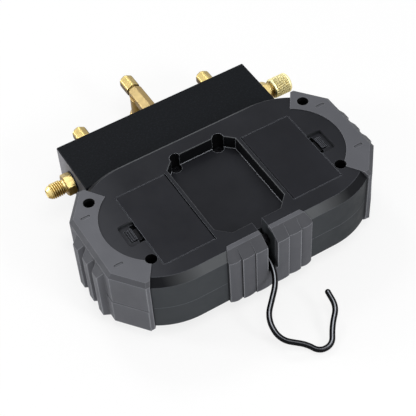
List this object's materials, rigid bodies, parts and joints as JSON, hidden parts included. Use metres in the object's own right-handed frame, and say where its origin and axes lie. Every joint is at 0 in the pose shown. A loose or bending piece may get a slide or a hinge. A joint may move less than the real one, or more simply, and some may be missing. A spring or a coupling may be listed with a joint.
{
  "type": "digital manifold gauge",
  "caption": "Refrigeration manifold gauge lying face down: stadium-shaped case with rubber guards, swinging wire hook, battery doors and a block with brass flare ports.",
  "frame": {"origin": "under the middle of the bounding box, on the surface that the display rim lies on", "axes": "+X along the long side of the case, +Y from the hook towards the centre port, +Z out of the back of the case"},
  "size_m": [0.2088, 0.2588, 0.0579],
  "materials": {
    "case_plastic": "fine texture",
    "guard_rubber": "satin",
    "block_coat": "textured powder coat",
    "brass": "machined",
    "brass_bright": "bright machined",
    "hook_coat": "black oxide",
    "steel": "satin",
    "screw_steel": "black oxide",
    "cell_wrap": "printed sleeve without lettering",
    "board_green": "solder mask",
    "chip_black": "moulded",
    "display_glass": "reflective display",
    "window_clear": "clear",
    "key_rubber": "soft",
    "wheel_blue": "moulded",
    "wheel_red": "moulded",
    "seal_rubber": "soft"
  },
  "bodies": {
    "case": {"rear_cover": "case_plastic", "front_cover": "case_plastic", "end_guard_left": "guard_rubber", "end_guard_right": "guard_rubber", "hook_guard": "guard_rubber", "hook_pin": "steel", "aa_cells_left": "cell_wrap", "aa_cells_right": "cell_wrap", "battery_springs": "steel", "battery_plates": "steel", "case_screws": "screw_steel", "main_board": "board_green", "board_screws": "steel", "board_parts": "chip_black", "display_module": "display_glass", "display_window": "window_clear", "keypad_board": "board_green", "key_switches": "chip_black", "manifold_block": "block_coat", "manifold_gasket": "seal_rubber", "manifold_screws": "steel", "low_side_port": "brass_bright", "high_side_port": "brass_bright", "far_port_left": "brass_bright", "far_port_right": "brass_bright", "centre_port": "brass", "port_washers": "steel", "low_valve_bonnet": "brass_bright", "high_valve_bonnet": "brass_bright", "low_pressure_sensor": "steel", "high_pressure_sensor": "steel", "sight_glass_ring": "brass_bright", "sight_glass": "window_clear"},
    "hook": {"hook_barrel": "hook_coat", "hook_wire": "hook_coat"},
    "door_left": {"battery_door_left": "case_plastic"},
    "door_right": {"battery_door_right": "case_plastic"},
    "button_1": {"key_1": "key_rubber"},
    "button_2": {"key_2": "key_rubber"},
    "button_3": {"key_3": "key_rubber"},
    "button_4": {"key_4": "key_rubber"},
    "button_5": {"key_5": "key_rubber"},
    "button_6": {"key_6": "key_rubber"},
    "low_valve_seat": {"low_valve_piston": "steel"},
    "low_valve_wheel": {"low_valve_stem": "steel", "low_handwheel": "wheel_blue", "low_handwheel_screw": "steel"},
    "high_valve_seat": {"high_valve_piston": "steel"},
    "high_valve_wheel": {"high_valve_stem": "steel", "high_handwheel": "wheel_red", "high_handwheel_screw": "steel"},
    "cap_carrier": {"cap_seal": "seal_rubber"},
    "cap": {"port_cap": "brass"}
  },
  "joints": [
    {"name": "hook_swing", "type": "hinge", "parent": "case", "child": "hook", "pos_m": [0, -0.06026, 0.0439], "axis": [-1, 0, 0], "range_deg": [0, 205]},
    {"name": "left_door_swing", "type": "hinge", "parent": "case", "child": "door_left", "pos_m": [-0.03035, -0.02056, 0.0565], "axis": [0, 1, 0], "range_deg": [0, 85]},
    {"name": "right_door_swing", "type": "hinge", "parent": "case", "child": "door_right", "pos_m": [0.03035, -0.02056, 0.0565], "axis": [0, -1, 0], "range_deg": [0, 85]},
    {"name": "button_1_press", "type": "slide", "parent": "case", "child": "button_1", "axis": [0, 0, 1], "range_m": [0, 0.0008], "stiffness_N_per_m": 800},
    {"name": "button_2_press", "type": "slide", "parent": "case", "child": "button_2", "axis": [0, 0, 1], "range_m": [0, 0.0008], "stiffness_N_per_m": 800},
    {"name": "button_3_press", "type": "slide", "parent": "case", "child": "button_3", "axis": [0, 0, 1], "range_m": [0, 0.0008], "stiffness_N_per_m": 800},
    {"name": "button_4_press", "type": "slide", "parent": "case", "child": "button_4", "axis": [0, 0, 1], "range_m": [0, 0.0008], "stiffness_N_per_m": 800},
    {"name": "button_5_press", "type": "slide", "parent": "case", "child": "button_5", "axis": [0, 0, 1], "range_m": [0, 0.0008], "stiffness_N_per_m": 800},
    {"name": "button_6_press", "type": "slide", "parent": "case", "child": "button_6", "axis": [0, 0, 1], "range_m": [0, 0.0008], "stiffness_N_per_m": 800},
    {"name": "low_valve_lift", "type": "slide", "parent": "case", "child": "low_valve_seat", "axis": [0, 0, -1], "range_m": [0, 0.002]},
    {"name": "low_valve_turn", "type": "hinge", "parent": "low_valve_seat", "child": "low_valve_wheel", "pos_m": [-0.045, 0.06084, 0.0175], "axis": [0, 0, -1], "range_deg": [0, 720]},
    {"name": "high_valve_lift", "type": "slide", "parent": "case", "child": "high_valve_seat", "axis": [0, 0, -1], "range_m": [0, 0.002]},
    {"name": "high_valve_turn", "type": "hinge", "parent": "high_valve_seat", "child": "high_valve_wheel", "pos_m": [0.045, 0.06084, 0.0175], "axis": [0, 0, -1], "range_deg": [0, 720]},
    {"name": "cap_travel", "type": "slide", "parent": "case", "child": "cap_carrier", "axis": [1, 0, 0], "range_m": [0, 0.008]},
    {"name": "cap_turn", "type": "hinge", "parent": "cap_carrier", "child": "cap", "pos_m": [0.093, 0.06084, 0.0315], "axis": [1, 0, 0], "range_deg": [0, 2268]}
  ],
  "couplings": [
    {"joint": "low_valve_turn", "follows": "low_valve_lift", "rad_per_m": 6283},
    {"joint": "high_valve_turn", "follows": "high_valve_lift", "rad_per_m": 6283},
    {"joint": "cap_turn", "follows": "cap_travel", "rad_per_m": 4947}
  ]
}
